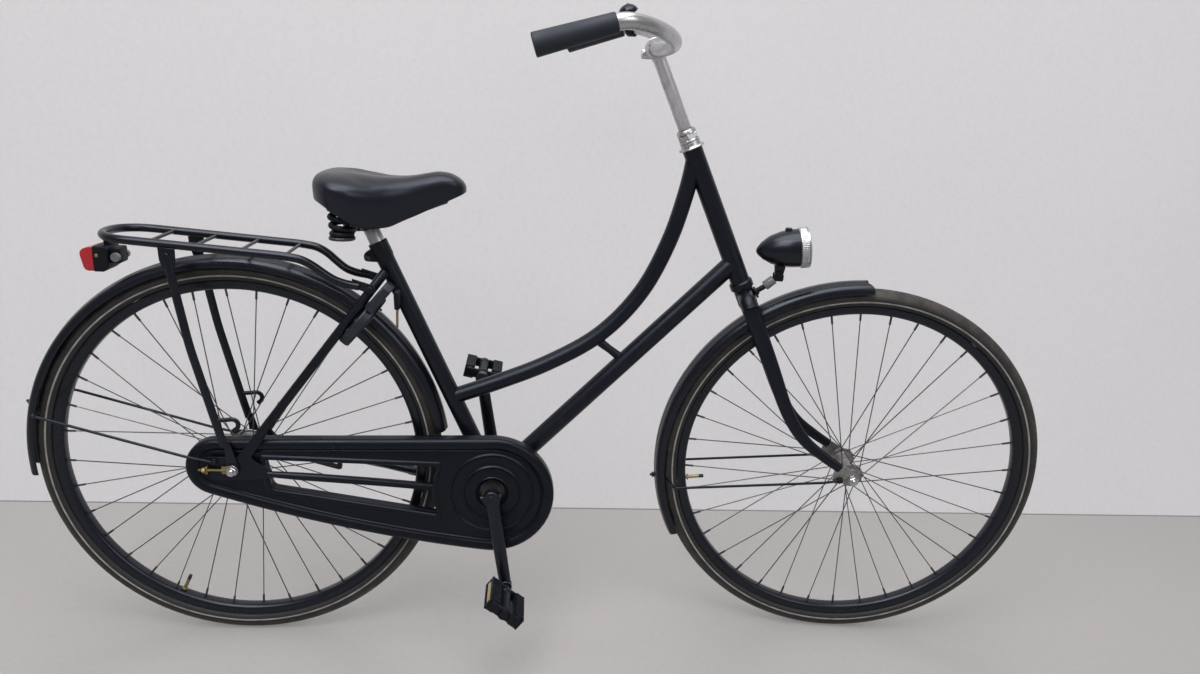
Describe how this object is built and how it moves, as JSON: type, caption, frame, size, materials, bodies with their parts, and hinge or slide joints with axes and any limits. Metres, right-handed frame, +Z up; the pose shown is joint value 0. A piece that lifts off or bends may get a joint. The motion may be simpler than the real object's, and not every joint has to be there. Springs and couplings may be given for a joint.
{
  "type": "dutch city bike",
  "caption": "Upright step-through city bicycle with swept-back bars, enclosed chain, sprung saddle, rear carrier, mudguards, lamps, ring lock and coaster brake.",
  "frame": {"origin": "on the ground under the rear axle, in the middle plane of the bicycle", "axes": "+X forward along the bicycle, +Y to the rider's left, +Z up"},
  "size_m": [1.8062, 0.6239, 1.1647],
  "materials": {
    "frame_paint": "satin black enamel with a faint blue sheen",
    "tyre_rubber": "matt black rubber with a thin pale reflective line on the wall",
    "rubber": "matt black",
    "plastic": "matt black moulding",
    "case_plastic": "satin black moulding",
    "vinyl": "black grained vinyl, semi-gloss",
    "silver": "dull silver",
    "chrome": "bright plating",
    "steel": "galvanised grey",
    "brass": "yellow plating",
    "red_lens": "clear red",
    "lamp_glass": "clear ribbed lens"
  },
  "bodies": {
    "frame": {"bottom_bracket_shell": "frame_paint", "seat_tube": "frame_paint", "top_tube": "frame_paint", "down_tube": "frame_paint", "head_tube": "frame_paint", "rear_stays_right": "frame_paint", "rear_stays_left": "frame_paint", "seat_clamp_bolt": "silver", "headset_upper_cup": "chrome", "rear_axle": "steel", "rear_mudguard": "frame_paint", "rear_mudguard_stay": "frame_paint", "carrier": "frame_paint", "tail_lamp_housing": "plastic", "tail_lamp_lens": "red_lens", "chain_case_outer": "case_plastic", "chain_case_inner": "case_plastic", "chain": "steel", "ring_lock_body": "plastic", "coaster_brake_arm": "steel", "chain_tensioner_right": "brass"},
    "rear_wheel": {"rear_tyre": "tyre_rubber", "rear_rim": "frame_paint", "rear_hub": "silver", "rear_spokes_right": "steel", "rear_spokes_left": "steel"},
    "sprocket": {"rear_sprocket": "steel"},
    "crankset": {"crank_axle": "steel", "crank_right": "frame_paint", "crank_left": "frame_paint", "chainring": "steel"},
    "pedal_r": {"pedal_right": "plastic"},
    "pedal_l": {"pedal_left": "plastic"},
    "steering": {"fork": "frame_paint", "headset_locknut": "chrome", "front_axle": "steel", "front_mudguard": "frame_paint", "front_mudguard_stay": "frame_paint", "headlamp_bracket": "plastic"},
    "front_wheel": {"front_tyre": "tyre_rubber", "front_rim": "frame_paint", "front_hub": "silver", "front_spokes_right": "steel", "front_spokes_left": "steel"},
    "quill": {"stem": "silver"},
    "bar": {"handlebar": "silver", "grip_right": "rubber", "grip_left": "rubber", "bell_base": "plastic"},
    "bell_lever": {"bell_striker": "plastic"},
    "headlamp": {"headlamp_shell": "plastic", "headlamp_ring": "chrome", "headlamp_lens": "lamp_glass"},
    "post": {"seatpost": "silver"},
    "saddle": {"saddle_frame": "steel", "saddle_spring_right": "plastic", "saddle_spring_left": "plastic", "saddle_cover": "vinyl"},
    "lock_bolt": {"ring_lock_bolt": "steel"},
    "lock_key": {"ring_lock_key": "silver"}
  },
  "joints": [
    {"name": "steering_turn", "type": "hinge", "parent": "frame", "child": "steering", "pos_m": [0.863, 0, 0.695], "axis": [-0.4226, 0, 0.9063], "range_deg": [-53, 67]},
    {"name": "front_wheel_spin", "type": "hinge", "parent": "steering", "child": "front_wheel", "pos_m": [1.09954, -0.0083, 0.34779], "axis": [0.1105, 0.9925, 0.0515], "continuous": true},
    {"name": "rear_wheel_spin", "type": "hinge", "parent": "frame", "child": "rear_wheel", "pos_m": [0, 0, 0.348], "axis": [0, 1, 0], "continuous": true},
    {"name": "crank_spin", "type": "hinge", "parent": "frame", "child": "crankset", "pos_m": [0.44, 0, 0.306], "axis": [0, 1, 0], "continuous": true},
    {"name": "sprocket_spin", "type": "hinge", "parent": "frame", "child": "sprocket", "pos_m": [0, 0, 0.348], "axis": [0, 1, 0], "continuous": true},
    {"name": "pedal_right_spin", "type": "hinge", "parent": "crankset", "child": "pedal_r", "pos_m": [0.46835, -0.13, 0.13838], "axis": [0, 1, 0], "continuous": true},
    {"name": "pedal_left_spin", "type": "hinge", "parent": "crankset", "child": "pedal_l", "pos_m": [0.41165, 0.13, 0.47362], "axis": [0, 1, 0], "continuous": true},
    {"name": "stem_height", "type": "slide", "parent": "steering", "child": "quill", "axis": [-0.4226, 0, 0.9063], "range_m": [-0.1, 0.04]},
    {"name": "handlebar_tilt", "type": "hinge", "parent": "quill", "child": "bar", "pos_m": [0.6868, 0, 1.0729], "axis": [0.1105, 0.9925, 0.0515], "range_deg": [-20, 20]},
    {"name": "bell_lever_turn", "type": "hinge", "parent": "bar", "child": "bell_lever", "pos_m": [0.67545, 0.27507, 1.1202], "axis": [-0.0029, -0.0515, 0.9987], "range_deg": [0, 25], "stiffness_Nm_per_rad": 0.02},
    {"name": "headlamp_tilt", "type": "hinge", "parent": "steering", "child": "headlamp", "pos_m": [0.92855, -0.00811, 0.71079], "axis": [0.1105, 0.9925, 0.0515], "range_deg": [-10, 10]},
    {"name": "seatpost_height", "type": "slide", "parent": "frame", "child": "post", "axis": [-0.4226, 0, 0.9063], "range_m": [-0.02, 0.06]},
    {"name": "saddle_turn", "type": "hinge", "parent": "post", "child": "saddle", "pos_m": [0.219, 0, 0.779], "axis": [-0.4226, 0, 0.9063], "range_deg": [-20, 20]},
    {"name": "ring_lock_close", "type": "hinge", "parent": "frame", "child": "lock_bolt", "pos_m": [0.20863, 0, 0.60109], "axis": [-0.7716, 0, 0.6361], "range_deg": [0, 88]},
    {"name": "key_swing", "type": "hinge", "parent": "frame", "child": "lock_key", "pos_m": [0.274, -0.03, 0.661], "axis": [1, 0, 0], "range_deg": [-60, 30]}
  ],
  "couplings": [
    {"joint": "sprocket_spin", "follows": "crank_spin", "ratio": 2.2222}
  ]
}
